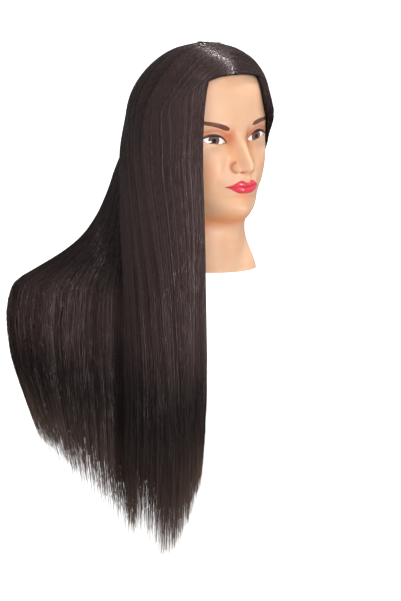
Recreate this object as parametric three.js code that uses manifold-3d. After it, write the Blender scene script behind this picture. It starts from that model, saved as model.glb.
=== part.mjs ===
// A cosmetology training head: a hollow soft vinyl head on a rigid foam core, with a clamp socket
// in its neck, set-in eyes, lash strips and long rooted hair combed into sections.
// Millimetres. +Z is up, the face looks along -Y, and the wearer's right side is at -X.
// The origin is the centre of the neck's lower end.

import * as THREE from 'three';
import { mergeVertices } from 'three/addons/utils/BufferGeometryUtils.js';
import Module from 'manifold-3d';

const wasm = await Module();
wasm.setup();

// ---------- driving dimensions ----------

const SLIVER = 0.05; // detail finer than this is merged away after a cut
const GAP = 0.3; // clearance between pieces that lie together
const SKIN_WALL = 4; // vinyl shell
const TINY = 1e-9; // keeps a division safe

// The skull above its widest level: half sizes, then how square its plan is (2 is an ellipse) and
// how square its upright sections are, by the way they face.
const SKULL = {
  centre: new THREE.Vector3(0, 22, 180),
  halfWidth: 75,
  front: 87,
  back: 90,
  height: 78,
  plan: 2.06,
  upright: { front: 2.8, side: 2.0, back: 1.42 },
};

// Sections of the neck, jaw and face from the base up to the skull's widest level. Each is
// [front y, z], [side x, y, z], [back y, z] and how square the section is.
const SECTIONS = [
  [[-58, 0], [55, 0, 0], [58, 0], 2.0],
  [[-55, 9], [53.5, 1, 9], [56, 9], 2.0],
  [[-48, 24], [49, 4, 24], [52.5, 24], 2.0],
  [[-42, 38], [47, 7, 38], [51, 37], 1.95],
  [[-42.5, 50], [46.5, 9, 50], [50.5, 50], 1.9],
  [[-49.5, 58], [47, 9, 61], [51.5, 60], 1.75],
  [[-59, 60], [47, 8, 72], [53.5, 70], 1.6],
  [[-68, 66], [49.5, 7, 83], [57, 80], 1.55],
  [[-73, 75], [54, 7, 94], [63, 92], 1.58],
  [[-70.5, 87], [60, 9, 107], [74, 107], 1.65],
  [[-72.5, 101], [65.5, 12, 121], [88, 124], 1.75],
  [[-70.5, 119], [70, 15, 137], [99, 142], 1.85],
  [[-66.5, 140], [73, 18, 152], [106.5, 156], 1.97],
  [[-63.5, 160], [74.5, 20.5, 167], [110.5, 168], 2.06],
  [[-65, 180], [75, 22, 180], [112, 180], 2.06],
];

const EYE = { x: 31.5, y: -40, z: 157.5, radius: 11.6 };
const EYE_OPENING = { inner: 14.5, outer: 45.5, upper: 6.2, lower: 4.6, tilt: 3.5 };
const LASH = { radius: 0.8, lift: 1.6 }; // lift: how far outside the skin and above the lid's edge
const EAR = { x: 71, y: 22, z: 138, thick: 7, wide: 16, tall: 29, lean: 0.22, splay: 0.3 };

// The clamp socket: a blind tapered hole for the stud of a table clamp or tripod.
const SOCKET = { mouthRadius: 12.6, endRadius: 11.8, depth: 70, wall: 3.2, end: 4 };
const FLANGE = { radius: 34, thick: 3 };
const RUN_OUT = 5; // how far below the neck's end a cut is carried

// ---------- small helpers ----------

const lerp = THREE.MathUtils.lerp;
const clamp01 = (value) => THREE.MathUtils.clamp(value, 0, 1);
const bump = (distance, width) => Math.exp(-((distance / width) ** 2));
const signedPower = (value, power) => Math.sign(value) * Math.abs(value) ** power;

// A closed geometry from a grid of rings; ring r's points are joined to ring r + 1's, and the
// first and last ring are each closed with a fan. The last strip is split along its other
// diagonal, so that the facing sides of two neighbouring tresses have the same facets.
function loftRings(rings) {
  const count = rings[0].length;
  const points = rings.flat();
  const faces = [];
  for (let r = 0; r + 1 < rings.length; r++) {
    for (let i = 0; i < count; i++) {
      const j = (i + 1) % count;
      const [a, b, c, d] = [r * count + i, r * count + j, (r + 1) * count + i, (r + 1) * count + j];
      if (j === 0) faces.push(a, b, d, a, d, c);
      else faces.push(a, b, c, b, d, c);
    }
  }
  const last = (rings.length - 1) * count;
  for (let i = 1; i + 1 < count; i++) {
    faces.push(0, i + 1, i);
    faces.push(last, last + i, last + i + 1);
  }
  const geometry = new THREE.BufferGeometry();
  const flat = points.flatMap((p) => [p.x, p.y, p.z]);
  geometry.setAttribute('position', new THREE.Float32BufferAttribute(flat, 3));
  geometry.setIndex(faces);
  return geometry;
}

function toSolid(geometry) {
  const bare = geometry.clone();
  bare.deleteAttribute('normal');
  bare.deleteAttribute('uv');
  const merged = mergeVertices(bare, 1e-4);
  const mesh = new wasm.Mesh({
    numProp: 3,
    vertProperties: new Float32Array(merged.attributes.position.array),
    triVerts: new Uint32Array(merged.index.array),
  });
  return new wasm.Manifold(mesh);
}

// Merges the slivers that a cut leaves, then hands the solid back to three.js.
function toGeometry(solid) {
  const mesh = solid.simplify(SLIVER).getMesh();
  const geometry = new THREE.BufferGeometry();
  geometry.setAttribute('position', new THREE.BufferAttribute(mesh.vertProperties, 3));
  geometry.setIndex(new THREE.BufferAttribute(mesh.triVerts, 1));
  return geometry;
}

// ---------- the head's outer surface ----------

const sectionCurve = (pick) => new THREE.CatmullRomCurve3(SECTIONS.map(pick), false, 'catmullrom');
const frontCurve = sectionCurve(([front]) => new THREE.Vector3(0, front[0], front[1]));
const sideCurve = sectionCurve(([, side]) => new THREE.Vector3(...side));
const backCurve = sectionCurve(([, , back]) => new THREE.Vector3(0, back[0], back[1]));

function sectionSquareness(level) {
  const place = level * (SECTIONS.length - 1);
  const low = Math.min(Math.floor(place), SECTIONS.length - 2);
  return lerp(SECTIONS[low][3], SECTIONS[low + 1][3], place - low);
}

// A point on the section at `level` (0 base to 1 widest level); angle 0 is the front and half a
// turn is the back. The section's height runs smoothly from front to side to back.
function sectionPoint(level, angle) {
  const front = frontCurve.getPoint(level);
  const side = sideCurve.getPoint(level);
  const back = backCurve.getPoint(level);
  const power = 2 / sectionSquareness(level);
  const along = signedPower(Math.cos(angle), power);
  const across = signedPower(Math.sin(angle), power);
  const end = along > 0 ? front : back;
  const bend = ((front.z + back.z) / 2 - side.z) / 2;
  const lean = (front.z - back.z) / 2;
  const height = side.z + bend + lean * Math.cos(angle) + bend * Math.cos(2 * angle);
  return new THREE.Vector3(side.x * across, side.y + (end.y - side.y) * Math.abs(along), height);
}

// How square the skull's upright section is in the direction x, forward seen from above.
function uprightness(x, forward) {
  const { front, side, back } = SKULL.upright;
  const share = forward / Math.max(Math.hypot(x, forward), TINY);
  return lerp(side, share > 0 ? front : back, share ** 2);
}

// A point on the skull `grow` outside its surface; latitude 0 is its widest level.
function skullPoint(latitude, angle, grow = 0) {
  const along = signedPower(Math.cos(angle), 2 / SKULL.plan);
  const across = signedPower(Math.sin(angle), 2 / SKULL.plan);
  const x = (SKULL.halfWidth + grow) * across;
  const forward = ((along > 0 ? SKULL.front : SKULL.back) + grow) * along;
  const power = 2 / uprightness(x, forward);
  const ring = signedPower(Math.cos(latitude), power);
  const height = (SKULL.height + grow) * signedPower(Math.sin(latitude), power);
  return SKULL.centre.clone().add(new THREE.Vector3(x * ring, -forward * ring, height));
}

// How far the features stand forward of the plain sections, by place on the face.
function faceRelief(x, z) {
  const side = Math.abs(x);
  const socket = -6.5 * bump(side - 32, 15) * bump(z - 157, 10);
  const corner = -4 * bump(side - 15, 6) * bump(z - 157, 9);
  const down = clamp01((163 - z) / 35); // 0 between the eyes, 1 at the nose's tip
  const bridge = lerp(1, 17, down ** 1.3) * bump(x, lerp(6.5, 9, down));
  const noseEnd = 1 / (1 + Math.exp((121.5 - z) / 1.6));
  const alae = 5 * bump(side - 12, 4.5) * bump(z - 125, 5);
  const lips = 3.2 * bump(x, 19) * (bump(z - 107, 4) + bump(z - 98, 4.5));
  const muzzle = 1.5 * bump(x, 24) * bump(z - 104, 18);
  const cheek = 2.5 * bump(side - 42, 17) * bump(z - 130, 16);
  const brow = 1.6 * bump(side - 28, 20) * bump(z - 176, 7);
  return socket + corner + (z < 166 ? bridge * noseEnd : 0) + alae + lips + muzzle + cheek + brow;
}

// Moves a point of the plain head onto the face; the core follows only the face's hollows.
function withRelief(point, hollowsOnly) {
  const facing = clamp01((-10 - point.y) / 25);
  const relief = faceRelief(point.x, point.z);
  return point.setY(point.y - (hollowsOnly ? Math.min(relief, 0) : relief) * facing);
}

// Angles round a section, closer together over the face.
function ringAngles(count, crowding) {
  return Array.from({ length: count }, (_, i) => {
    const turn = (i / count) * 2 * Math.PI;
    return turn - crowding * Math.sin(turn);
  });
}

function headRings({ around, levels, domeRings, crowding, hollowsOnly }) {
  const angles = ringAngles(around, crowding);
  const rings = [];
  for (let i = 0; i <= levels; i++) {
    rings.push(angles.map((angle) => sectionPoint(i / levels, angle)));
  }
  for (let i = 1; i <= domeRings; i++) {
    const latitude = (i / (domeRings + 1)) ** 0.9 * (Math.PI / 2);
    rings.push(angles.map((angle) => skullPoint(latitude, angle)));
  }
  return rings.map((ring) => ring.map((point) => withRelief(point, hollowsOnly)));
}

// Moves every ring inward by `wall`, square to the surface.
function shrinkRings(rings, wall) {
  const count = rings[0].length;
  return rings.map((ring, r) => ring.map((point, i) => {
    const up = rings[Math.min(r + 1, rings.length - 1)][i].clone().sub(rings[Math.max(r - 1, 0)][i]);
    const along = ring[(i + 1) % count].clone().sub(ring[(i + count - 1) % count]);
    const inward = up.cross(along).normalize();
    return point.clone().addScaledVector(inward, wall);
  }));
}

// Starts the rings afresh at a height, straight below the lowest ring.
function startedAt(height, rings) {
  const foot = rings[0].map((point) => point.clone().setZ(height));
  return [foot, ...rings.filter((ring) => ring[0].z > 1)];
}

// Carries the lowest ring straight down, so that a hollow runs out through the neck's end.
function runOutBelow(rings) {
  const below = rings[0].map((point) => point.clone().setZ(-RUN_OUT));
  return [below, ...startedAt(0.5, rings)];
}

// ---------- eyes and lashes ----------

// The lids' opening seen from the front: x from the nose outward, upper and lower edges.
function lidEdge(share, upper) {
  const x = lerp(EYE_OPENING.inner, EYE_OPENING.outer, share);
  const arch = Math.sin(Math.PI * share ** 0.85) ** 0.8;
  const rise = (upper ? EYE_OPENING.upper : -EYE_OPENING.lower) * arch;
  return new THREE.Vector2(x, EYE.z - 1.5 + EYE_OPENING.tilt * share + rise);
}

function lidOpening(side) {
  const steps = 12;
  const outline = [];
  for (let i = 0; i <= steps; i++) outline.push(lidEdge(i / steps, true));
  for (let i = steps - 1; i > 0; i--) outline.push(lidEdge(i / steps, false));
  const shape = new THREE.Shape(outline.map((p) => new THREE.Vector2(p.x * side, p.y)));
  const prism = new THREE.ExtrudeGeometry(shape, { depth: 40, bevelEnabled: false });
  prism.rotateX(Math.PI / 2);
  prism.translate(0, EYE.y, 0);
  return toSolid(prism);
}

function eyeBall(side, radius) {
  const ball = new THREE.SphereGeometry(radius, 18, 12);
  ball.translate(EYE.x * side, EYE.y, EYE.z);
  return toSolid(ball);
}

function eyeShape(side) {
  return toGeometry(eyeBall(side, EYE.radius));
}

// The strip follows the upper lid's edge, just outside the skin.
function lashShape(side, skin) {
  const path = [];
  for (let i = 1; i <= 9; i++) {
    const edge = lidEdge(i / 10, true);
    const height = edge.y + LASH.lift;
    path.push(new THREE.Vector3(edge.x * side, skin(edge.x, height) - LASH.lift, height));
  }
  const section = new THREE.Shape();
  section.absellipse(0, 0, LASH.radius, LASH.radius, 0, 2 * Math.PI);
  const extrudePath = new THREE.CatmullRomCurve3(path);
  const options = { steps: 12, curveSegments: 4, bevelEnabled: false, extrudePath };
  return new THREE.ExtrudeGeometry(section, options);
}

// ---------- neck insert ----------

// The outside of the socket and its flange, `grow` outside the real surface.
function insertOutside(grow) {
  const { mouthRadius, endRadius, depth, wall, end } = SOCKET;
  return [
    new THREE.Vector2(FLANGE.radius + grow, FLANGE.thick + grow),
    new THREE.Vector2(mouthRadius + wall + grow, FLANGE.thick + grow),
    new THREE.Vector2(endRadius + wall + grow, depth + end + grow),
    new THREE.Vector2(0, depth + end + grow),
  ];
}

function lathe(profile) {
  return new THREE.LatheGeometry(profile, 32).rotateX(Math.PI / 2);
}

function insertShape() {
  return lathe([
    new THREE.Vector2(0, SOCKET.depth),
    new THREE.Vector2(SOCKET.endRadius, SOCKET.depth),
    new THREE.Vector2(SOCKET.mouthRadius, 0),
    new THREE.Vector2(FLANGE.radius, 0),
    ...insertOutside(0),
  ]);
}

function insertRoom() {
  return lathe([
    new THREE.Vector2(0, -RUN_OUT),
    new THREE.Vector2(FLANGE.radius + GAP, -RUN_OUT),
    ...insertOutside(GAP),
  ]);
}

// ---------- head shell and core ----------

function ear(side, grow = 0) {
  const shell = new THREE.SphereGeometry(1, 14, 10);
  shell.scale(EAR.thick + grow, EAR.wide + grow, EAR.tall + grow);
  shell.rotateX(EAR.lean);
  shell.rotateZ(EAR.splay);
  shell.translate(EAR.x, EAR.y, EAR.z);
  return toSolid(side > 0 ? shell : mirrored(shell));
}

function mirrored(geometry) {
  const copy = geometry.clone().scale(-1, 1, 1);
  const index = copy.index.array;
  for (let i = 0; i < index.length; i += 3) [index[i], index[i + 1]] = [index[i + 1], index[i]];
  return copy;
}

const HEAD_GRID = { around: 44, levels: 29, domeRings: 6, crowding: 0.55 };
const CORE_GRID = { around: 22, levels: 13, domeRings: 4, crowding: 0.2 };

const headSurface = loftRings(headRings({ ...HEAD_GRID, hollowsOnly: false }));
const coreRings = headRings({ ...CORE_GRID, hollowsOnly: true });

function cutEyes(solid) {
  return [-1, 1].reduce((left, side) => left.subtract(eyeBall(side, EYE.radius + GAP)), solid);
}

// The head and ears with room for what lies on them.
function grownHead() {
  const rings = shrinkRings(headRings({ ...HEAD_GRID, hollowsOnly: false }), -GAP);
  return toSolid(loftRings(rings)).add(ear(-1, GAP)).add(ear(1, GAP));
}

function skinShape() {
  const hollow = toSolid(loftRings(runOutBelow(shrinkRings(coreRings, SKIN_WALL))));
  const outside = toSolid(headSurface).add(ear(-1)).add(ear(1));
  const open = cutEyes(outside).subtract(hollow);
  return toGeometry(open.subtract(lidOpening(-1)).subtract(lidOpening(1)));
}

function coreShape() {
  const rings = shrinkRings(coreRings, SKIN_WALL + GAP);
  const solid = toSolid(loftRings(startedAt(GAP, rings)));
  return toGeometry(cutEyes(solid).subtract(toSolid(insertRoom())));
}

// ---------- hair ----------

// Hair that hangs free is placed by how far it is draped towards the right rear shoulder (out),
// how far away it lies on the other side of the head (deep) and its height.
const DRAPE_OUT = new THREE.Vector3(-0.809, 0.588, 0);
const DRAPE_DEEP = new THREE.Vector3(0.588, 0.809, 0);
const draped = (out, deep, z) =>
  new THREE.Vector3(0, 0, z).addScaledVector(DRAPE_OUT, out).addScaledVector(DRAPE_DEEP, deep);

// Key strands. root is the strand's x, y at the parting. exit is where it leaves the skull, in
// degrees round the head (0 front, -90 right side) and above its widest level. facing is the way
// its outer side looks, from out (0) towards deep (90). path is [out, deep, z] down to the tip.
const RIGHT_STRANDS = [
  { // front edge, beside the face
    root: [-0.6, -60], exit: [-30, 30], grow: 5, thick: 4, facing: -85,
    path: [[5.5, -75, 195], [8, -80, 150], [7, -79, 100], [5.5, -78, 50],
      [5, -77, 0], [5, -76, -60], [5.5, -74, -150], [11, -72, -250]],
  },
  { // over the temple
    root: [-0.6, -30], exit: [-57, 10], grow: 8, thick: 7, facing: -72,
    path: [[36, -71, 168], [38, -70, 128], [34, -68, 86], [31, -67, 38],
      [29, -66, -3], [28, -66, -58], [27, -66, -152], [30, -64, -312]],
  },
  { // over the ear
    root: [-0.6, 0], exit: [-90, 0], grow: 9, thick: 9, facing: -65,
    path: [[83, -40, 140], [80, -44, 108], [74, -49, 66], [68, -52, 23],
      [63, -54, -8], [59, -55, -55], [53, -58, -155], [58, -60, -345]],
  },
  { // behind the ear
    root: [-7.5, 40], exit: [-125, 0], grow: 6, thick: 9, facing: -40,
    path: [[106, 14, 140], [106, 4, 108], [106, -6, 66], [104, -13, 23],
      [102, -18, -8], [100, -24, -55], [98, -32, -155], [100, -36, -318]],
  },
  { // beside the fan's front edge
    root: [-7.9, 41.6], exit: [-129.4, 0], grow: 6, thick: 6, facing: 20,
    path: [[103.3, 31.5, 140], [100.3, 27.5, 108], [97.3, 21.5, 66], [94.3, 13.5, 23],
      [91.3, 7.5, -8], [88.3, 0, -50], [88.3, -11, -150], [90.3, -18, -325]],
  },
];
const REAR_STRANDS = [
  { // hidden front edge of the fan
    root: [-8, 42], exit: [-130, 0], grow: 6, thick: 9, facing: -75,
    path: [[103, 34, 140], [100, 30, 108], [97, 24, 66], [94, 16, 23],
      [91, 10, -8], [88, 3, -50], [88, -8, -150], [90, -15, -325]],
  },
  { // outer edge of the fan, near side
    root: [-7, 48], exit: [-152, 0], grow: 7, thick: 9, facing: -50,
    path: [[104, 60, 140], [115, 54, 108], [128, 49, 66], [154, 44, 23],
      [198, 41, -8], [231, 38, -38], [232, 33, -115], [198, 25, -232]],
  },
  { // outer edge of the fan, far side
    root: [-4.5, 51.5], exit: [-160, 0], grow: 9, thick: 9, facing: 50,
    path: [[98, 74, 140], [110, 74, 108], [125, 72, 66], [152, 69, 23],
      [196, 66, -8], [230, 63, -38], [231, 58, -115], [196, 50, -232]],
  },
  { // middle of the back
    root: [0, 53], exit: [-180, 0], grow: 9, thick: 9, facing: 75,
    path: [[71, 98, 140], [76, 97, 108], [90, 92, 66], [112, 86, 25],
      [148, 80, -8], [185, 73, -42], [192, 63, -120], [165, 48, -262]],
  },
  { // left of the back
    root: [7, 48], exit: [-207, 0], grow: 9, thick: 9, facing: 85,
    path: [[28, 112, 140], [32, 106, 108], [45, 98, 66], [68, 93, 25],
      [100, 88, -10], [128, 80, -48], [138, 68, -140], [122, 52, -300]],
  },
  { // over the left ear, combed back behind the neck
    root: [0.6, 0], exit: [-265, 0], grow: 9, thick: 8, facing: 110,
    path: [[-57, 79, 150], [-48, 86, 125], [-18, 94, 95], [8, 99, 55],
      [32, 99, 10], [62, 92, -45], [92, 72, -150], [92, 55, -330]],
  },
  { // over the left temple, combed back over the ear
    root: [0.6, -30], exit: [-297, 14], grow: 8, thick: 7, facing: 122,
    path: [[-77, 30, 178], [-70, 51, 150], [-60, 74, 122], [-37, 88, 92],
      [-4, 97, 50], [18, 98, 0], [44, 88, -100], [70, 56, -336]],
  },
  { // left front edge, from the hairline's corner down the temple and back over the ear
    root: [0.6, -60], exit: [-330, 30], grow: 5, thick: 4, facing: 145,
    path: [[-68, -25, 196], [-71, -6, 172], [-69, 26, 146], [-59, 64, 116],
      [-16, 95, 68], [2, 98, 20], [26, 88, -80], [50, 56, -342]],
  },
];

// Hair rooted low on the nape, under the rest: its strands start at the skin, with no root above.
const NAPE_STRANDS = [
  {
    root: [], exit: [], grow: 0, thick: 8, facing: 20,
    path: [[84, 16, 118], [85, 18, 90], [84, 17, 50], [82, 14, 10],
      [78, 10, -40], [76, 6, -100], [75, 2, -180], [75, -2, -300]],
  },
  {
    root: [], exit: [], grow: 0, thick: 8, facing: 45,
    path: [[73, 36, 112], [77, 42, 90], [79, 46, 55], [78, 46, 10],
      [74, 42, -40], [70, 36, -100], [66, 30, -180], [64, 24, -305]],
  },
  {
    root: [], exit: [], grow: 0, thick: 8, facing: 70,
    path: [[38, 58, 112], [42, 66, 90], [46, 72, 55], [48, 74, 10],
      [48, 72, -40], [46, 66, -100], [44, 58, -180], [44, 48, -310]],
  },
  {
    root: [], exit: [], grow: 0, thick: 8, facing: 90,
    path: [[8, 62, 108], [12, 70, 85], [16, 77, 50], [20, 80, 10],
      [24, 78, -40], [26, 72, -100], [28, 64, -180], [30, 54, -300]],
  },
];

const SHEETS = [
  {
    strands: RIGHT_STRANDS,
    spans: [['hair_right', 2], ['hair_right', 2], ['hair_right', 1], ['hair_right', 1]],
  },
  {
    strands: REAR_STRANDS,
    spans: [['hair_fan', 4], ['hair_fan_edge', 1], ['hair_back', 3], ['hair_back', 2],
      ['hair_left', 2], ['hair_left', 1], ['hair_left', 1]],
  },
  { strands: NAPE_STRANDS, spans: [['hair_nape', 1], ['hair_nape', 1], ['hair_nape', 1]] },
];

const headRoom = grownHead();
const SCALP_STEPS = 6; // control points of a strand on the scalp, root and exit included
const TRESS_STATIONS = 18; // cross-sections of a tress
const TRESS_WIDE = 3; // facets across a tress
const TRESS_GAP = 0.25; // each tress's side stands back this far from the shared line
const TIP_THICKNESS = 0.5; // of the thickness at the root

const degrees = THREE.MathUtils.degToRad;
const flatten = (strand) => [
  strand.grow, strand.thick, strand.facing, ...strand.path.flat(), ...strand.root, ...strand.exit,
];
const PATH_NUMBERS = 24; // eight points of three

function cubic([before, start, end, after], t) {
  return start + 0.5 * t * (end - before
    + t * (2 * before - 5 * start + 4 * end - after + t * (3 * (start - end) + after - before)));
}

// The strand at a place along a sheet: 0 is its first key strand, 1 its second, and so on.
function strandAt(strands, place) {
  const low = Math.min(Math.floor(place), strands.length - 2);
  const row = (i) => flatten(strands[THREE.MathUtils.clamp(i, 0, strands.length - 1)]);
  const rows = [row(low - 1), row(low), row(low + 1), row(low + 2)];
  const values = rows[1].map((_, i) => cubic(rows.map((r) => r[i]), place - low));
  const [grow, thick, facing] = values;
  const scalp = values.slice(3 + PATH_NUMBERS);
  return { grow, thick, facing, path: values.slice(3, 3 + PATH_NUMBERS), scalp };
}

// The point `grow` outside the skull in a direction from its centre.
function skullAlong(direction, grow) {
  const depth = (direction.y < 0 ? SKULL.front : SKULL.back) + grow;
  const plan = Math.abs(direction.x / (SKULL.halfWidth + grow)) ** SKULL.plan
    + Math.abs(direction.y / depth) ** SKULL.plan;
  const power = uprightness(direction.x, -direction.y);
  const upright = Math.abs(direction.z / (SKULL.height + grow)) ** power;
  const reach = (plan ** (power / SKULL.plan) + upright) ** (-1 / power);
  return SKULL.centre.clone().addScaledVector(direction, reach);
}

function directionTo(point) {
  return point.clone().sub(SKULL.centre).normalize();
}

function turnBetween(from, to, share) {
  const arc = from.angleTo(to);
  const a = Math.sin((1 - share) * arc) / Math.sin(arc);
  const b = Math.sin(share * arc) / Math.sin(arc);
  return from.clone().multiplyScalar(a).addScaledVector(to, b).normalize();
}

// The directions from the skull's centre that a strand takes on the scalp, from its root to where
// it leaves; none where it is rooted on the nape.
function scalpDirections([rootX, rootY, angle, latitude]) {
  if (rootX === undefined) return [];
  const rootHeight = SKULL.height * (1 - ((rootY - SKULL.centre.y) / (2 * SKULL.halfWidth)) ** 2);
  const root = directionTo(new THREE.Vector3(rootX, rootY, SKULL.centre.z + rootHeight));
  const exit = directionTo(skullPoint(degrees(latitude), degrees(angle)));
  return Array.from({ length: SCALP_STEPS }, (_, i) => turnBetween(root, exit, i / (SCALP_STEPS - 1)));
}

// Outer line of a strand from root to tip, with the way its outer side looks at each point.
function strandLine(strand) {
  const facings = scalpDirections(strand.scalp);
  const points = facings.map((direction) => skullAlong(direction, strand.grow));
  const exit = facings.at(-1);
  const look = degrees(strand.facing);
  const hanging = draped(Math.cos(look), Math.sin(look), 0);
  for (let i = 0; i < PATH_NUMBERS; i += 3) {
    points.push(draped(...strand.path.slice(i, i + 3)));
    facings.push(i === 0 && exit ? hanging.clone().lerp(exit, 0.5).normalize() : hanging);
  }
  const line = new THREE.CatmullRomCurve3(points, false, 'catmullrom');
  const outward = new THREE.CatmullRomCurve3(facings, false, 'catmullrom');
  return Array.from({ length: TRESS_STATIONS }, (_, i) => {
    const share = i / (TRESS_STATIONS - 1);
    const thick = strand.thick * lerp(1, TIP_THICKNESS, share);
    return { outer: line.getPoint(share), facing: outward.getPoint(share).normalize(), thick };
  });
}

// One tress between two places of a sheet: a closed solid with an outer and an inner side,
// cut back where it lies on the scalp or an ear.
function tressShape(strands, from, to) {
  const lines = Array.from({ length: TRESS_WIDE + 1 }, (_, i) =>
    strandLine(strandAt(strands, lerp(from, to, i / TRESS_WIDE))));
  const rings = [];
  for (let station = 0; station < TRESS_STATIONS; station++) {
    const outer = lines.map((line) => line[station].outer.clone());
    standBack(outer);
    const inner = outer.map((point, i) => {
      const { facing, thick } = lines[i][station];
      return point.clone().addScaledVector(facing, -thick);
    });
    rings.push([...outer, ...inner.reverse()]);
  }
  const pieces = toSolid(loftRings(rings)).subtract(headRoom).decompose();
  return toGeometry(pieces.reduce((most, piece) => (piece.volume() > most.volume() ? piece : most)));
}

// Draws the two end points of a row in towards each other, to leave room for the neighbours.
function standBack(row) {
  const across = row.at(-1).clone().sub(row[0]);
  const step = Math.min(TRESS_GAP, across.length() * 0.2);
  across.setLength(step);
  row[0].add(across);
  row.at(-1).sub(across);
}

// ---------- assembly ----------

const group = new THREE.Group();

function addPiece(name, geometry, color, roughness) {
  const material = new THREE.MeshStandardMaterial({ color, roughness, metalness: 0 });
  const mesh = new THREE.Mesh(geometry, material);
  mesh.name = name;
  group.add(mesh);
}

addPiece('head_skin', skinShape(), 0xf2c49e, 0.5);
addPiece('foam_core', coreShape(), 0xd9c7a0, 0.9);
addPiece('neck_insert', insertShape(), 0x2a2a2c, 0.5);

const probe = new THREE.Mesh(headSurface);
const skinAt = (x, z) => {
  const ray = new THREE.Raycaster(new THREE.Vector3(x, -200, z), new THREE.Vector3(0, 1, 0));
  return ray.intersectObject(probe)[0].point.y;
};
for (const [name, side] of [['right', -1], ['left', 1]]) {
  addPiece(`eye_${name}`, eyeShape(side), 0xf4f0ec, 0.15);
  addPiece(`lash_${name}`, lashShape(side, skinAt), 0x20120e, 0.7);
}

for (const { strands, spans } of SHEETS) {
  const made = {};
  spans.forEach(([name, count], span) => {
    for (let i = 0; i < count; i++) {
      made[name] = (made[name] ?? 0) + 1;
      const label = name === 'hair_fan_edge' ? name : `${name}_${made[name]}`;
      addPiece(label, tressShape(strands, span + i / count, span + (i + 1) / count), 0x33261f, 0.4);
    }
  });
}

export default group;
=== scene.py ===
"""Looks for the mannequin training head: skin, make-up, eyes, lashes and combed strands of hair.

Shapes are worked out in millimetres, in the frame of the CAD model, and turned into metres when
a mesh is made. +Z is up, the face looks along -Y and the wearer's right side is at -X.
"""
import math
from collections import namedtuple

import bpy
import numpy as np
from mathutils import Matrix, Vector


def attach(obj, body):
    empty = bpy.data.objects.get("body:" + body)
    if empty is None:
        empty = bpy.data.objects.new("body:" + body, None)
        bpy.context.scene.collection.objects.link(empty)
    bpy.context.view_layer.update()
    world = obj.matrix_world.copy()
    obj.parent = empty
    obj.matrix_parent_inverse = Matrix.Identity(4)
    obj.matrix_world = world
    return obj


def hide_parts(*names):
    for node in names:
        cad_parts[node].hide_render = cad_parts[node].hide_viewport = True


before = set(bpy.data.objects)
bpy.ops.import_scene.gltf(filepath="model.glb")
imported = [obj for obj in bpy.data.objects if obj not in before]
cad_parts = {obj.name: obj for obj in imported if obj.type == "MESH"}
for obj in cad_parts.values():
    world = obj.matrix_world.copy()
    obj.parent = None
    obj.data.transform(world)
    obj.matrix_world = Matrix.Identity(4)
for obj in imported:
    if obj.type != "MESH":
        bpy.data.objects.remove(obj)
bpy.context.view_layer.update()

MM = 0.001
RNG = np.random.default_rng(26)


# --- the head's driving dimensions

# The skull above its widest level: the y and z of its centre, its half sizes and how square its
# plan is. UPRIGHT is how square its upright sections are, by the way they face.
SKULL = {"y": 22, "z": 180, "wide": 75, "front": 87, "back": 90, "high": 78, "plan": 2.06}
UPRIGHT = {"front": 2.8, "side": 2.0, "back": 1.42}
SKULL_CENTRE = np.array([0, SKULL["y"], SKULL["z"]])

# Sections from the neck's end to the skull's widest level: front (y, z), side (x, y, z),
# back (y, z) and squareness
SECTIONS = [
    ((-58, 0), (55, 0, 0), (58, 0), 2),
    ((-55, 9), (53.5, 1, 9), (56, 9), 2),
    ((-48, 24), (49, 4, 24), (52.5, 24), 2),
    ((-42, 38), (47, 7, 38), (51, 37), 1.95),
    ((-42.5, 50), (46.5, 9, 50), (50.5, 50), 1.9),
    ((-49.5, 58), (47, 9, 61), (51.5, 60), 1.75),
    ((-59, 60), (47, 8, 72), (53.5, 70), 1.6),
    ((-68, 66), (49.5, 7, 83), (57, 80), 1.55),
    ((-73, 75), (54, 7, 94), (63, 92), 1.58),
    ((-70.5, 87), (60, 9, 107), (74, 107), 1.65),
    ((-72.5, 101), (65.5, 12, 121), (88, 124), 1.75),
    ((-70.5, 119), (70, 15, 137), (99, 142), 1.85),
    ((-66.5, 140), (73, 18, 152), (106.5, 156), 1.97),
    ((-63.5, 160), (74.5, 20.5, 167), (110.5, 168), 2.06),
    ((-65, 180), (75, 22, 180), (112, 180), 2.06),
]
FRONT = [(0, *front) for front, _, _, _ in SECTIONS]
SIDE = [side for _, side, _, _ in SECTIONS]
BACK = [(0, *back) for _, _, back, _ in SECTIONS]
SQUARENESS = [square for _, _, _, square in SECTIONS]
WALL = 4.0  # thickness of the vinyl at the neck's end
NECK_CENTRE, NECK_RADIUS = np.array([0, 1.5, 0]), 55


def bump(distance, width):
    return np.exp(-((distance / width) ** 2))


def smooth(low, high, value):
    t = np.clip((value - low) / (high - low), 0, 1)
    return t * t * (3 - 2 * t)


def rescale(value, low, high, to_low, to_high):
    return to_low + (value - low) * (to_high - to_low) / (high - low)


def unit(vectors):
    return vectors / (np.linalg.norm(vectors, axis=-1, keepdims=True) + 1e-9)


def signed_power(value, power):
    return np.sign(value) * np.abs(value) ** power


def curve_between(four, t):
    """A Catmull-Rom curve between the middle two of four points, t of the way along."""
    before, start, end, after = four
    bend = 2 * before - 5 * start + 4 * end - after + t * (3 * (start - end) + after - before)
    return start + 0.5 * t * (end - before + t * bend)


def along_lines(controls, shares):
    """Points of a curve through each row of controls, at that row's own shares from 0 to 1."""
    last = controls.shape[1] - 1
    place = shares * last
    low = np.clip(np.floor(place).astype(int), 0, last - 1)
    first = 2 * controls[:, :1] - controls[:, 1:2]
    end = 2 * controls[:, -1:] - controls[:, -2:-1]
    padded = np.concatenate([first, controls, end], 1)
    row = np.arange(len(controls))[:, None]
    return curve_between([padded[row, low + k] for k in range(4)], (place - low)[..., None])


def through(points, shares):
    """Points of one curve through the given points, at shares from 0 to 1."""
    return along_lines(np.array(points, float)[None], shares[None])[0]


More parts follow.
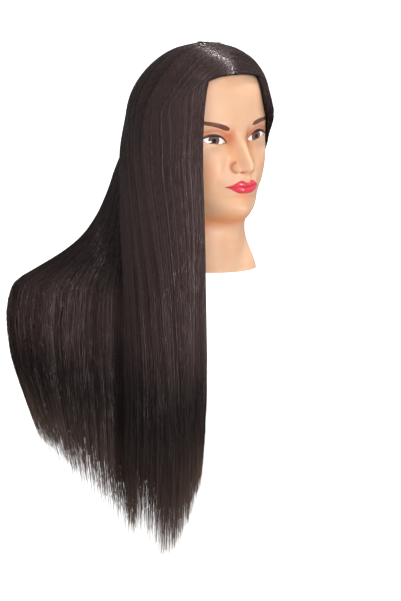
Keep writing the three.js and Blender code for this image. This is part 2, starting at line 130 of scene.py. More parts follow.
def profile(value, places, heights):
    """A smooth curve of heights over rising places."""
    places = np.asarray(places, float)
    heights = np.asarray(heights, float)
    slopes = np.gradient(heights, places)
    i = np.clip(np.searchsorted(places, value) - 1, 0, len(places) - 2)
    gap = places[i + 1] - places[i]
    t = np.clip((value - places[i]) / gap, 0, 1)
    return ((2 * t**3 - 3 * t**2 + 1) * heights[i] + (t**3 - 2 * t**2 + t) * gap * slopes[i]
            + (3 * t**2 - 2 * t**3) * heights[i + 1] + (t**3 - t**2) * gap * slopes[i + 1])


# --- meshes

def make_mesh(name, points_mm, blocks, material):
    """A mesh object from points in millimetres and blocks of quads or triangles."""
    mesh = bpy.data.meshes.new(name)
    points = np.asarray(points_mm, np.float32).reshape(-1, 3) * MM
    faces = [np.asarray(block, np.int32) for block in blocks]
    loops = np.concatenate([block.ravel() for block in faces])
    sizes = np.concatenate([np.full(len(block), block.shape[1], np.int32) for block in faces])
    starts = np.concatenate([[0], np.cumsum(sizes)[:-1]]).astype(np.int32)
    mesh.vertices.add(len(points))
    mesh.vertices.foreach_set("co", points.ravel())
    mesh.loops.add(len(loops))
    mesh.loops.foreach_set("vertex_index", loops)
    mesh.polygons.add(len(sizes))
    mesh.polygons.foreach_set("loop_start", starts)
    mesh.polygons.foreach_set("use_smooth", np.full(len(sizes), True))
    mesh.update(calc_edges=True)
    mesh.validate()
    mesh.materials.append(material)
    piece = bpy.data.objects.new(name, mesh)
    bpy.context.scene.collection.objects.link(piece)
    return piece


def add_attributes(piece, **fields):
    """Gives every point of a piece the numbers that its material reads."""
    for name, values in fields.items():
        layer = piece.data.attributes.new(name, "FLOAT", "POINT")
        layer.data.foreach_set("value", np.asarray(values, np.float32).ravel())


def stand_in(piece, slot, *nodes):
    """Lets a piece stand for CAD nodes, on the head's one body."""
    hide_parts(*nodes)
    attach(piece, "root")


def grid_faces(rows, columns, first=0):
    """Quads of a grid whose rows close on themselves."""
    start = first + np.arange(rows - 1)[:, None] * columns
    here = start + np.arange(columns)
    beside = start + np.roll(np.arange(columns), -1)
    return np.stack([here, beside, beside + columns, here + columns], -1).reshape(-1, 4)


def fan_faces(ring, centre):
    ring = np.asarray(ring)
    return np.stack([ring, np.roll(ring, -1), np.full(len(ring), centre)], -1)


# --- materials

def srgb(red, green, blue):
    """Linear colour from 0-255 display values."""
    values = [c / 255 for c in (red, green, blue)]
    return tuple(v / 12.92 if v <= 0.04045 else ((v + 0.055) / 1.055) ** 2.4 for v in values)


def feed(tree, socket, value):
    """Gives an input its value: an output of another node, 0-255 display values or a number."""
    if isinstance(value, bpy.types.NodeSocket):
        tree.links.new(value, socket)
    elif socket.type == "RGBA":
        socket.default_value = (*srgb(*value), 1)
    else:
        socket.default_value = value


def feed_all(tree, node, inputs):
    for name, value in inputs.items():
        feed(tree, node.inputs[name.replace("_", " ")], value)


def add_node(tree, kind, **inputs):
    node = tree.nodes.new(kind)
    feed_all(tree, node, inputs)
    return node


def new_material(name):
    material = bpy.data.materials.new(name)
    material.use_nodes = True
    return material, material.node_tree


def shade(tree, **inputs):
    """Sets inputs of a material's one shader."""
    feed_all(tree, tree.nodes["Principled BSDF"], inputs)


def mix_colour(tree, amount, first, second):
    """Mixes two colours, each the output of a node or 0-255 display values."""
    node = tree.nodes.new("ShaderNodeMix")
    node.data_type = "RGBA"
    for place, value in ((0, amount), (6, first), (7, second)):
        feed(tree, node.inputs[place], value)
    return node.outputs[2]


def times(tree, value, factor):
    node = tree.nodes.new("ShaderNodeMath")
    node.operation = "MULTIPLY"
    feed(tree, node.inputs[0], value)
    feed(tree, node.inputs[1], factor)
    return node.outputs[0]


def map_range(tree, value, low, high, to_low=0.0, to_high=1.0):
    node = add_node(tree, "ShaderNodeMapRange", Value=value, From_Min=low, From_Max=high,
                    To_Min=to_low, To_Max=to_high)
    node.interpolation_type = "SMOOTHSTEP"
    return node.outputs["Result"]


def attribute(tree, name):
    node = tree.nodes.new("ShaderNodeAttribute")
    node.attribute_name = name
    return node.outputs["Fac"]


def object_place(tree):
    return tree.nodes.new("ShaderNodeTexCoord").outputs["Object"]


def noise(tree, scale, detail=3.0, stretch=(1, 1, 1)):
    place = add_node(tree, "ShaderNodeMapping", Vector=object_place(tree), Scale=stretch).outputs[0]
    return add_node(tree, "ShaderNodeTexNoise", Vector=place, Scale=scale, Detail=detail).outputs["Fac"]


def noise_over(tree, x, y, **inputs):
    """Noise over a surface's own x and y, the outputs of other nodes."""
    place = add_node(tree, "ShaderNodeCombineXYZ", X=x, Y=y).outputs[0]
    return add_node(tree, "ShaderNodeTexNoise", Vector=place, **inputs).outputs["Fac"]


def raised(tree, height, strength, distance):
    """The surface direction of small bumps of the given height."""
    node = add_node(tree, "ShaderNodeBump", Height=height, Strength=strength, Distance=distance)
    return node.outputs["Normal"]


# --- face features, in x and z

FACE_TILT = 0.04  # the features stand this much higher per mm towards the wearer's left
EYE_INNER, EYE_OUTER = 15.5, 45.2  # corners of the lids' opening, mm from the middle
EYE_CORNERS = (154.4, 159.4)  # their heights
LID_RISE = {"upper": 5.5, "lower": 3.5}
EYEBALL = {"centre": (30.6, -44.6, 157.8), "radii": (18.8, 8.0, 12.6), "turn": math.radians(11)}
LID_THICK = 1.1
IRIS, PUPIL = 7.0, 2.7  # radii
# The hair's front edge runs from the parting, at root_y, to a place on the skull in degrees
HAIRLINE = {"root_y": -56, "latitude": 30, "turn": 30, "lowest": 200}
NOWHERE = 500.0  # a y far behind the face, where there is no eyeball
FAR_OUTSIDE = -9.0  # how far inside a painted feature the rest of the head is

# The brows' height and half thickness at places out from the middle of the face
BROW_PLACES = (16.5, 21, 26.5, 34, 41, 48, 56)
BROW_HEIGHTS = (171.9, 173.4, 175.3, 177.2, 178.3, 178.9, 177.2)
BROW_HALF = (1.9, 2.9, 3, 2.7, 2.4, 2.2, 1.4)
BROW_SHIFT_AT = (-50, -17, 17, 50)  # the two brows are painted by hand and differ a little
BROW_SHIFT = (0.8, -1.8, 2, -3)

# Heights of the lips' edges, and of the line where they meet, at places out from the middle
LIP_PLACES = (0, 3, 6.5, 10, 15.5, 20, 23.6)
LIP_TOP = (107.2, 108.4, 110.3, 109.6, 106.6, 104.4, 103.4)
LIP_PARTING = (102.9, 103.1, 103.6, 103.7, 103.3, 103.3, 103.2)
LIP_BOTTOM = (94.6, 94.6, 94.9, 95.6, 98.6, 101.6, 103)

# How far the ridge of the nose stands out at each height, and half its width there
NOSE_HEIGHTS = (108, 113, 116.5, 119.5, 122.5, 126.5, 131, 138, 147, 156, 163, 170, 178)
NOSE_OUT = (0, 0.3, 1.4, 7, 13.6, 16.4, 15.6, 11.6, 6.8, 3.2, 1.8, 1.1, 0)
NOSE_HALF = (9, 9, 8.6, 8.6, 8.4, 8, 7.4, 6.8, 6.4, 6.8, 8.5, 12, 16)


def lid_middle(side):
    """How far along the eye a place is, from 0 to 1, and the height of its corners' line there."""
    share = np.clip((side - EYE_INNER) / (EYE_OUTER - EYE_INNER), 0, 1)
    return share, rescale(share, 0, 1, *EYE_CORNERS)


def lid_edge(side, which):
    """Height of the upper or lower edge of the lids' opening, `side` mm from the middle."""
    share, middle = lid_middle(side)
    arch = np.sin(np.pi * share**0.88) ** 0.78
    return middle + (LID_RISE["upper"] if which == "upper" else -LID_RISE["lower"]) * arch


def opening_depth(side, z):
    """How far inside the lids' opening a place is, in mm; negative outside."""
    inside = np.minimum(lid_edge(side, "upper") - z, z - lid_edge(side, "lower"))
    past = np.maximum(EYE_INNER - side, side - EYE_OUTER)
    return np.where(past > 0, -np.hypot(past, np.minimum(inside, 0)), inside)


def eyeball_front(side, z, grow=0.0):
    """y of the front of the eyeball, `grow` mm outside it."""
    cx, cy, cz = EYEBALL["centre"]
    rx, ry, rz = (radius + grow for radius in EYEBALL["radii"])
    dx = (side - cx) / math.cos(EYEBALL["turn"])
    inside = 1 - (dx / rx) ** 2 - ((z - cz) / rz) ** 2
    front = cy + (side - cx) * math.tan(EYEBALL["turn"]) - ry * np.sqrt(np.maximum(inside, 0))
    return np.where(inside > 0, front, NOWHERE)


def smooth_front(first, second, blend):
    """The more forward (lower) of two y values, rounded where they meet."""
    gap = np.clip(0.5 + 0.5 * (second - first) / blend, 0, 1)
    return second * (1 - gap) + first * gap - blend * gap * (1 - gap)


def lip_pillow(side, z):
    top = profile(side, LIP_PLACES, LIP_TOP)
    parting = profile(side, LIP_PLACES, LIP_PARTING)
    bottom = profile(side, LIP_PLACES, LIP_BOTTOM)
    upper = np.clip((top - z) / np.maximum(top - parting, 0.5), 0, 1)
    lower = np.clip((z - bottom) / np.maximum(parting - bottom, 0.5), 0, 1)
    fade = np.sqrt(np.clip(1 - (side / LIP_PLACES[-1]) ** 2, 0, 1))
    pillow = 2.2 * (4 * upper * (1 - upper)) ** 0.6 * (z > parting)
    pillow += 3.4 * (4 * lower * (1 - lower)) ** 0.6 * (z <= parting)
    return pillow * fade


# Swellings and hollows of the face, by how far they stand out: their place and spread to each
# side of the middle, then their place and spread in height
RELIEF = (
    (4.2, 12, 3.6, 125.8, 4.8),  # wings of the nose
    (-3.6, 20, 6.5, 127, 12),  # beside the nose
    (-1.8, 8.4, 1.8, 128, 4.5),  # groove round the wings
    (-2.6, 6.6, 2.6, 120.2, 2),  # nostrils
    (-6.8, 32, 15, 158, 10.5),  # eye sockets
    (-5.2, 14.5, 6, 157, 10),  # inner corners of the eyes
    (2, 28, 20, 177, 7),  # brow
    (3.8, 0, 19, 103, 15),  # muzzle
    (0.5, 4.2, 1.8, 113, 3.2),  # ridges below the nose
    (-0.8, 0, 2.4, 113, 3.2),  # and the hollow between them
    (-3.6, 27, 7, 103, 8),  # corners of the mouth
    (-2.2, 0, 17, 89.5, 4.2),  # under the lower lip
    (1.6, 0, 15, 79, 7),  # chin
    (2.6, 38, 15, 131, 17),  # cheeks
)


def face_relief(x, z):
    """How far the features stand forward of the plain head, by place on the face."""
    side = np.abs(x)
    ridge = profile(z, NOSE_HEIGHTS, NOSE_OUT)
    half = profile(z, NOSE_HEIGHTS, NOSE_HALF)
    within = (z > NOSE_HEIGHTS[0]) & (z < NOSE_HEIGHTS[-1])
    nose = np.where(within, ridge * np.exp(-np.abs(x / half) ** 2.3), 0)
    fold = -1.0 * bump(side - 31 + 0.42 * (z - 108), 3.5) * bump(z - 113, 12)
    soft = sum(out * bump(side - across, wide) * bump(z - up, tall)
               for out, across, wide, up, tall in RELIEF)
    return nose + fold + soft + lip_pillow(side, z)


# --- the head's surface

def head_sections(levels, angles):
    """Points of the plain head from the neck's end (level 0) to the widest level (1)."""
    front, side, back = (through(curve, levels) for curve in (FRONT, SIDE, BACK))
    square = np.interp(levels, np.linspace(0, 1, len(SECTIONS)), SQUARENESS)[:, None]
    along = signed_power(np.cos(angles)[None, :], 2 / square)
    across = signed_power(np.sin(angles)[None, :], 2 / square)
    bend = ((front[:, 2:] + back[:, 2:]) / 2 - side[:, 2:]) / 2
    lean = (front[:, 2:] - back[:, 2:]) / 2
    z = side[:, 2:] + bend + lean * np.cos(angles) + bend * np.cos(2 * angles)
    end = np.where(along > 0, front[:, 1:2], back[:, 1:2])
    y = side[:, 1:2] + (end - side[:, 1:2]) * np.abs(along)
    return np.stack([side[:, :1] * across, y, z], -1)


def uprightness(x, forward):
    """How square the skull's upright section is in the direction x, forward seen from above."""
    share = forward / (np.hypot(x, forward) + 1e-9)
    end = np.where(share > 0, UPRIGHT["front"], UPRIGHT["back"])
    return UPRIGHT["side"] + (end - UPRIGHT["side"]) * share**2


def skull(latitudes, angles):
    """Points of the skull above its widest level; angle 0 is the front."""
    latitudes, angles = np.broadcast_arrays(latitudes, angles)
    along = signed_power(np.cos(angles), 2 / SKULL["plan"])
    across = signed_power(np.sin(angles), 2 / SKULL["plan"])
    reach = np.where(along > 0, SKULL["front"], SKULL["back"])
    x, forward = SKULL["wide"] * across, reach * along
    power = 2 / uprightness(x, forward)
    ring = signed_power(np.cos(latitudes), power)
    z = SKULL["z"] + SKULL["high"] * signed_power(np.sin(latitudes), power)
    return np.stack([x * ring, SKULL["y"] - forward * ring, z], -1)


AROUND = 330  # columns of the head's grid, closest together over the face
LEVELS = np.concatenate([np.linspace(0, 0.47, 36, endpoint=False), np.linspace(0.47, 1, 185)])
LATITUDES = np.linspace(0, math.pi / 2, 62)[1:-1]
EYE_ROWS = {"low": 146.0, "lower": 155.2, "upper": 159.8, "high": 172.0}  # heights moved to the lids


def follow_lids(points):
    """Slides the grid up and down round the eyes so that its rows run along the lids' edges."""
    x, _, z = np.moveaxis(points, -1, 0)
    side = np.abs(x)
    level = z - FACE_TILT * x
    near = smooth(EYE_INNER - 9, EYE_INNER - 1, side) * (1 - smooth(EYE_OUTER + 1, EYE_OUTER + 9, side))
    _, middle = lid_middle(side)
    upper = np.maximum(lid_edge(side, "upper"), middle + 0.2)
    lower = np.minimum(lid_edge(side, "lower"), middle - 0.2)
    low, start, end, high = (EYE_ROWS[k] for k in ("low", "lower", "upper", "high"))
    moved = rescale(level, start, end, lower, upper)
    moved = np.where(level < start, rescale(level, low, start, low, lower), moved)
    moved = np.where(level > end, rescale(level, end, high, upper, high), moved)
    moved = np.where((level > low) & (level < high) & (points[..., 1] < 0), moved, level)
    target = z + (moved - level) * near
    for column in np.flatnonzero(np.abs(target - z).max(0) > 1e-6):
        heights, depths = z[:, column].copy(), points[:, column, 1].copy()
        order = np.argsort(heights)
        points[:, column, 1] = np.interp(target[:, column], heights[order], depths[order])
        points[:, column, 2] = target[:, column]
    return points


def head_points():
    turns = np.arange(AROUND) / AROUND * 2 * math.pi
    angles = turns - 0.62 * np.sin(turns)
    plain = np.concatenate([head_sections(LEVELS, angles), skull(LATITUDES[:, None], angles[None, :])])
    points = follow_lids(plain)
    x, y, z = points[..., 0], points[..., 1], points[..., 2]
    level = z - FACE_TILT * x
    side = np.abs(x)
    facing = np.clip((-10 - y) / 25, 0, 1)
    face = y - face_relief(x, level) * facing
    lids = smooth_front(face, eyeball_front(side, level, LID_THICK), 2.2)
    over_eye = smooth(16, 22, side) * (1 - smooth(44, 50, side))
    lids = lids + 0.9 * bump(level - lid_edge(side, "upper") - 3.6, 0.9) * over_eye
    depth = opening_depth(side, level)
    behind = eyeball_front(side, level) + 2.0
    face = np.where(y < -10, lids + (behind - lids) * smooth(-0.1, 0.5, depth), face)
    points[..., 1] = face
    return points


def build_head(material):
    """The vinyl head, closed at the crown, with a rim of its wall's thickness at the neck's end."""
    grid = head_points()
    rows, columns = grid.shape[:2]
    flat = grid.reshape(-1, 3)
    crown = np.array([[0, SKULL["y"], SKULL["z"] + SKULL["high"]]])
    top = fan_faces((rows - 1) * columns + np.arange(columns), len(flat))
    rim = []
    for inset, height in ((0, 0), (0.35, 0), (WALL, 0), (WALL, 6)):
        ring = grid[0] + (NECK_CENTRE - grid[0]) * inset / NECK_RADIUS
        ring[:, 2] = height
        rim.append(ring)
    rim_faces = grid_faces(len(rim), columns, len(flat) + 1)[:, ::-1]
    points = np.concatenate([flat, crown, *rim])
    faces = np.concatenate([grid_faces(rows, columns), rim_faces])
    piece = make_mesh("skin", points, [faces, top], material)
    paint_face(piece, points)
    stand_in(piece, "skin", "head_skin")


def lip_paint(side, level):
    """How far inside the lips a place is, and how far from the line where they meet."""
    top = profile(side, LIP_PLACES, LIP_TOP)
    bottom = profile(side, LIP_PLACES, LIP_BOTTOM)
    lips = np.where(side < LIP_PLACES[-1], np.minimum(top - level, level - bottom), LIP_PLACES[-1] - side)
    parting = np.abs(level - profile(side, LIP_PLACES, LIP_PARTING)) + np.maximum(side - 22.6, 0)
    return lips, parting


def brow_paint(x, side, level):
    """How far inside a brow a place is."""
    height = profile(side, BROW_PLACES, BROW_HEIGHTS) + np.interp(x, BROW_SHIFT_AT, BROW_SHIFT)
    brow = profile(side, BROW_PLACES, BROW_HALF) - np.abs(level - height)
    past = np.maximum(BROW_PLACES[0] + 0.3 * (level - 172) - side, side - BROW_PLACES[-1])
    return np.where(past > 0, -past, brow)


def liner_paint(side, above):
    """How far inside the eye liner a place is, from its height above the lid's edge."""
    share, _ = lid_middle(side)
    thick = 0.25 + 2.0 * np.sin(np.pi * np.clip(share * 0.70 + 0.08, 0, 1)) ** 1.2
    tail = np.maximum(np.maximum(EYE_INNER - side, side - EYE_OUTER - 3.0), 0)
    return thick - np.abs(above - 0.35 * thick) - tail * 2


def soft_tints(x, side, level, above):
    """How strong each soft tint is: eye shadow, a painted highlight on the lids, blush, and painted
    shade in the nostrils, round the nose's wings, beside the nose, under the lower lip and at the jaw.
    """
    lid = bump(above - 3.6, 5.4) * smooth(10, 18, side) * (1 - smooth(46, 58, side))
    corner = bump(side - 12, 5.5) * bump(level - 160, 10)
    wing = np.hypot(side - 11.0, (level - 125.6) / 1.15)
    opening = bump(side - 6.2, 2.6) * bump(level - 119.6, 1.5)
    nose = bump(side - 12.5, 6.5) * bump(level - 141, 17)
    jaw = bump(side - 50, 16) * smooth(140, 90, level) * smooth(50, 62, level)
    return {
        "shadow": np.clip(1.1 * lid + 0.8 * corner, 0, 1),
        # painted highlight on the lids
        "painted_lid_highlight": bump(above - 4.6, 1.3) * bump(side - 30, 8),
        "blush": bump(side - 48, 16) * bump(level - 122, 16),
        # painted shade in the nostrils and round the nose's wings
        "painted_nose_shade": opening + 0.75 * bump(wing - 5.2, 1.3) * (side > 11),
        # painted shade beside the nose, under the lower lip and at the jaw
        "painted_warm_shade": nose + bump(x, 19) * bump(level - 89.5, 4) + 0.9 * jaw,
    }


def paint_face(piece, points):
    """Writes where the painted features and tints are, for the skin's material, among them painted shade
    and a painted highlight.
    """
    x, y, z = points.T
    side = np.abs(x)
    level = z - FACE_TILT * x
    above = level - lid_edge(side, "upper")
    front = y < -20
    lips, parting = lip_paint(side, level)
    sharp = {"lips": lips, "brow": brow_paint(x, side, level), "liner": liner_paint(side, above)}
    soft = soft_tints(x, side, level, above)
    add_attributes(piece, **{name: np.where(front, depth, FAR_OUTSIDE) for name, depth in sharp.items()})
    add_attributes(piece, **{name: tint * smooth(5, -30, y) for name, tint in soft.items()})
    # the under attribute is painted shade under the jaw
    add_attributes(piece, parting=np.where(front, parting, -FAR_OUTSIDE), scalp=scalp_depth(points),
                   under=bump(level - 62, 9) * smooth(25, -30, y))


def scalp_depth(points):
    """How far behind the hair's front edge each point of the skull is, in mm."""
    root = np.array([0, HAIRLINE["root_y"], SKULL["z"] + 0.92 * SKULL["high"]]) - SKULL_CENTRE
    corner = skull(np.radians(HAIRLINE["latitude"]), np.radians(HAIRLINE["turn"])) - SKULL_CENTRE
    across = unit(np.cross(root, corner))
    away = points - SKULL_CENTRE
    away = np.column_stack([np.abs(away[:, 0]), away[:, 1:]])
    return np.where(points[:, 2] > HAIRLINE["lowest"], away @ across, FAR_OUTSIDE)


# --- ears

EAR = {"centre": (71, 22, 138), "lean": 0.22, "splay": 0.3}


def ear_surface():
    """An ear: a dished shell with a rolled rim, a second fold inside it and a lobe."""
    rows, columns = 40, 72
    rim = np.linspace(0, 1, rows)[:, None]
    turn = np.linspace(0, 2 * math.pi, columns, endpoint=False)[None, :]
    outline = 1 + 0.10 * np.cos(turn - 2.2) - 0.10 * np.cos(2 * turn)
    wide = 15.5 * outline * np.sin(rim * math.pi / 2) * np.where(np.sin(turn) > 0, 1.0, 0.85)
    tall = 28 * outline * np.sin(rim * math.pi / 2)
    y = wide * np.cos(turn)
    z = tall * np.sin(turn)
    rolled = 3.0 * bump(rim - 0.86, 0.10) * np.clip(0.55 - np.cos(turn + 0.4), 0.15, 1.2)
    fold = 2.0 * bump(rim - 0.55, 0.09) * np.clip(np.cos(turn - 0.1), 0, 1)
    bowl = -4.5 * bump(rim, 0.42)
    x = 3.5 + rolled + fold + bowl - 5.0 * smooth(0.93, 1.0, rim) + 0 * turn
    return np.stack([x, y, z], -1)


def build_ear(side, name, material):
    points = ear_surface()
    back = points[::-1].copy()
    back[..., 0] = np.minimum(back[..., 0] - 2.2, -2.0)
    rings = np.concatenate([points, back[1:]])
    x, y, z = rings[..., 0], rings[..., 1], rings[..., 2]
    lean, splay = EAR["lean"], EAR["splay"]
    y, z = y * math.cos(lean) - z * math.sin(lean), y * math.sin(lean) + z * math.cos(lean)
    x, y = x * math.cos(splay) - y * math.sin(splay), x * math.sin(splay) + y * math.cos(splay)
    cx, cy, cz = EAR["centre"]
    placed = np.stack([side * (x + cx), y + cy, z + cz], -1)
    faces = grid_faces(*rings.shape[:2])
    piece = make_mesh(name, placed, [faces if side > 0 else faces[:, ::-1]], material)
    stand_in(piece, "skin", "head_skin")


# --- eyes and lashes

def on_face(side, points):
    """Points worked out for the wearer's left, put on one side of the face (-1 is the right)."""
    x, y, z = np.moveaxis(points, -1, 0)
    return np.stack([side * x, y, z + FACE_TILT * side * x], -1)


GAZE = (-0.10, -0.04)  # how far the pupils are turned aside and down from straight ahead


def build_eye(side, name, material):
    """The front of an eyeball, with a slight swelling over the iris."""
    rows, columns = 56, 96
    reach = np.linspace(0, 1, rows)[1:, None] ** 1.15 * (0.5 * math.pi)
    turn = np.linspace(0, 2 * math.pi, columns, endpoint=False)[None, :]
    rx, ry, rz = EYEBALL["radii"]
    cx, cy, cz = EYEBALL["centre"]
    x = rx * np.sin(reach) * np.cos(turn)
    z = rz * np.sin(reach) * np.sin(turn)
    y = -ry * np.cos(reach) + 0 * turn
    pupil_x = side * GAZE[0] * EYEBALL["radii"][1]
    pupil_z = GAZE[1] * EYEBALL["radii"][1]
    away = np.hypot(x - pupil_x, z - pupil_z)
    y = y - 0.5 * smooth(IRIS + 1.5, 0, away)
    ring = np.stack([x + cx, y + cy + x * math.tan(EYEBALL["turn"]), z + cz], -1).reshape(-1, 3)
    pole = np.array([[cx, cy - ry - 0.5, cz]])
    points = on_face(side, np.concatenate([ring, pole]))
    faces = grid_faces(rows - 1, columns)[:, ::-1]
    tip = fan_faces(np.arange(columns), len(ring))
    if side < 0:
        faces, tip = faces[:, ::-1], tip[:, ::-1]
    piece = make_mesh(name, points, [faces, tip], material)
    angle = np.arctan2(z - pupil_z, x - pupil_x)
    add_attributes(piece, away=np.append(away, math.hypot(pupil_x, pupil_z)), spoke=np.append(angle, 0))
    stand_in(piece, "eye", name.replace("looking", "eye"))


LASHES = 90
LASH_LENGTH = (2.0, 3.2)
LASH_RADIUS = 0.16


def build_lashes(side, name, material):
    """Upper lashes: short tapered hairs that leave the lid's edge and curl up."""
    lines = []
    radii = []
    for share in np.linspace(0.10, 1.0, LASHES):
        across = rescale(share, 0, 1, EYE_INNER, EYE_OUTER) + RNG.normal(0, 0.12)
        height = float(lid_edge(np.array(across), "upper"))
        front = float(eyeball_front(np.array(across), np.array(height), LID_THICK))
        length = rescale(share, 0, 1, *LASH_LENGTH) + RNG.normal(0, 0.3)
        spread = (share - 0.45) * 0.6 + RNG.normal(0, 0.06)
        root = np.array([across, front + 0.3, height + 0.1])
        reach = np.linspace(0, 1, 6)[:, None]
        out = np.array([spread, -1.0, -0.12])
        line = root + out * length * reach * (1 - 0.25 * reach) + np.array([0, 0, 0.62]) * length * reach**2
        lines.append(line)
        radii.append(LASH_RADIUS * (1 - 0.85 * reach[:, 0]))
    piece = tubes(name, on_face(side, np.array(lines)), np.array(radii), material)
    stand_in(piece, "lash", name.replace("lashes", "lash"))


def tubes(name, lines, radii, material):
    """Closed three-sided tubes along the lines."""
    stations = lines.shape[1]
    ahead = unit(np.gradient(lines, axis=1))
    side = unit(np.cross(ahead, np.array([0.3, 0.5, 0.81])))
    other = np.cross(ahead, side)
    corners = []
    for turn in (0, 2 * math.pi / 3, 4 * math.pi / 3):
        corners.append(lines + (side * math.cos(turn) + other * math.sin(turn)) * radii[..., None])
    points = np.stack(corners, 2).reshape(-1, 3)
    first = np.arange(0, len(points), stations * 3)
    last = first + (stations - 1) * 3
    sides = np.concatenate([grid_faces(stations, 3, start) for start in first])
    roots = np.stack([first + 2, first + 1, first], 1)
    tips = np.stack([last, last + 1, last + 2], 1)
    return make_mesh(name, points, [sides, roots, tips], material)


# --- hair: the key strands

# Hanging hair is placed by how far it is draped to the right rear (out), how far away it lies on
# the other side of the head (deep) and its height. A key strand's root is its x, y at the parting,
# and exit where it leaves the skull: degrees round the head and above its widest level. Grow is
# how far outside the skull it lies, thick its thickness at the root, and facing the way it looks.
OUT = np.array([-0.809, 0.588, 0])
DEEP = np.array([0.588, 0.809, 0])

Key = namedtuple("Key", "root exit grow thick facing path")

RIGHT = [
    Key((-0.6, -60), (-30, 30), 5, 4, -85, (  # front edge
        (5.5, -75, 195), (8, -80, 150), (7, -79, 100), (5.5, -78, 50), (5, -77, 0), (5, -76, -60),
        (5.5, -74, -150), (11, -72, -250))),
    Key((-0.6, -30), (-57, 10), 8, 7, -72, (  # temple
        (36, -71, 168), (38, -70, 128), (34, -68, 86), (31, -67, 38), (29, -66, -3), (28, -66, -58),
        (27, -66, -152), (30, -64, -312))),
    Key((-0.6, 0), (-90, 0), 9, 9, -65, (  # ear
        (83, -40, 140), (80, -44, 108), (74, -49, 66), (68, -52, 23), (63, -54, -8), (59, -55, -55),
        (53, -58, -155), (58, -60, -345))),
    Key((-7.5, 40), (-125, 0), 6, 9, -40, (  # behind the ear
        (106, 14, 140), (106, 4, 108), (106, -6, 66), (104, -13, 23), (102, -18, -8), (100, -24, -55),
        (98, -32, -155), (100, -36, -318))),
    Key((-7.9, 41.6), (-129.4, 0), 6, 6, 20, (  # beside the fan
        (103.3, 31.5, 140), (100.3, 27.5, 108), (97.3, 21.5, 66), (94.3, 13.5, 23), (91.3, 7.5, -8),
        (88.3, 0, -50), (88.3, -11, -150), (90.3, -18, -325))),
]
REAR = [
    Key((-8, 42), (-130, 0), 6, 9, -75, (  # hidden edge
        (103, 34, 140), (100, 30, 108), (97, 24, 66), (94, 16, 23), (91, 10, -8), (88, 3, -50),
        (88, -8, -150), (90, -15, -325))),
    Key((-7, 48), (-152, 0), 7, 9, -50, (  # fan, near side
        (104, 60, 140), (115, 54, 108), (128, 49, 66), (154, 44, 23), (198, 41, -8), (231, 38, -38),
        (232, 33, -115), (198, 25, -232))),
    Key((-4.5, 51.5), (-160, 0), 9, 9, 50, (  # fan, far side
        (98, 74, 140), (110, 74, 108), (125, 72, 66), (152, 69, 23), (196, 66, -8), (230, 63, -38),
        (231, 58, -115), (196, 50, -232))),
    Key((0, 53), (-180, 0), 9, 9, 75, (  # middle of the back
        (71, 98, 140), (76, 97, 108), (90, 92, 66), (112, 86, 25), (148, 80, -8), (185, 73, -42),
        (192, 63, -120), (165, 48, -262))),
    Key((7, 48), (-207, 0), 9, 9, 85, (  # left of the back
        (28, 112, 140), (32, 106, 108), (45, 98, 66), (68, 93, 25), (100, 88, -10), (128, 80, -48),
        (138, 68, -140), (122, 52, -300))),
    Key((0.6, 0), (-265, 0), 9, 8, 110, (  # left ear
        (-57, 79, 150), (-48, 86, 125), (-18, 94, 95), (8, 99, 55), (32, 99, 10), (62, 92, -45),
        (92, 72, -150), (92, 55, -330))),
    Key((0.6, -30), (-297, 14), 8, 7, 122, (  # left temple
        (-77, 30, 178), (-70, 51, 150), (-60, 74, 122), (-37, 88, 92), (-4, 97, 50), (18, 98, 0),
        (44, 88, -100), (70, 56, -336))),
    Key((0.6, -60), (-330, 30), 5, 4, 145, (  # left front edge
        (-68, -25, 196), (-71, -6, 172), (-69, 26, 146), (-59, 64, 116), (-16, 95, 68), (2, 98, 20),
        (26, 88, -80), (50, 56, -342))),
]
NAPE = [
    Key(None, None, 0, 8, 20, (
        (84, 16, 118), (85, 18, 90), (84, 17, 50), (82, 14, 10), (78, 10, -40), (76, 6, -100),
        (75, 2, -180), (75, -2, -300))),
    Key(None, None, 0, 8, 45, (
        (73, 36, 112), (77, 42, 90), (79, 46, 55), (78, 46, 10), (74, 42, -40), (70, 36, -100),
        (66, 30, -180), (64, 24, -305))),
    Key(None, None, 0, 8, 70, (
        (38, 58, 112), (42, 66, 90), (46, 72, 55), (48, 74, 10), (48, 72, -40), (46, 66, -100),
        (44, 58, -180), (44, 48, -310))),
    Key(None, None, 0, 8, 90, (
        (8, 62, 108), (12, 70, 85), (16, 77, 50), (20, 80, 10), (24, 78, -40), (26, 72, -100),
        (28, 64, -180), (30, 54, -300))),
]
PATH_POINTS = 8
PATH_END = 3 + 3 * PATH_POINTS  # numbers in a row before its root and exit
SCALP_STEPS = 6  # control points of a strand on the scalp
ACROSS_SCALE = 60  # the "across" attribute rises by this from one key strand to the next


def key_rows(keys):
    """Each key strand as a row: grow, thick, facing, the path's numbers, root and exit."""
    rows = []
    for key in keys:
        path = [number for point in key.path for number in point]
        rows.append([key.grow, key.thick, key.facing, *path, *(key.root or ()), *(key.exit or ())])
    return np.array(rows, float)


def rows_between(rows, places):
    """The rows at places along a sheet: 0 is its first key strand, 1 its second, and so on."""
    last = len(rows) - 1
    low = np.clip(np.floor(places).astype(int), 0, last - 1)
    four = [rows[np.clip(low + k, 0, last)] for k in (-1, 0, 1, 2)]
    return curve_between(four, (places - low)[:, None])


def skull_along(direction, grow):
    """Points `grow` outside the skull in directions from its centre."""
    depth = np.where(direction[..., 1] < 0, SKULL["front"], SKULL["back"]) + grow
    plan = (np.abs(direction[..., 0]) / (SKULL["wide"] + grow)) ** SKULL["plan"]
    plan = plan + (np.abs(direction[..., 1]) / depth) ** SKULL["plan"]
    power = uprightness(direction[..., 0], -direction[..., 1])
    up = (np.abs(direction[..., 2]) / (SKULL["high"] + grow)) ** power
    reach = (plan ** (power / SKULL["plan"]) + up) ** (-1 / power)
    return SKULL_CENTRE + direction * reach[..., None]


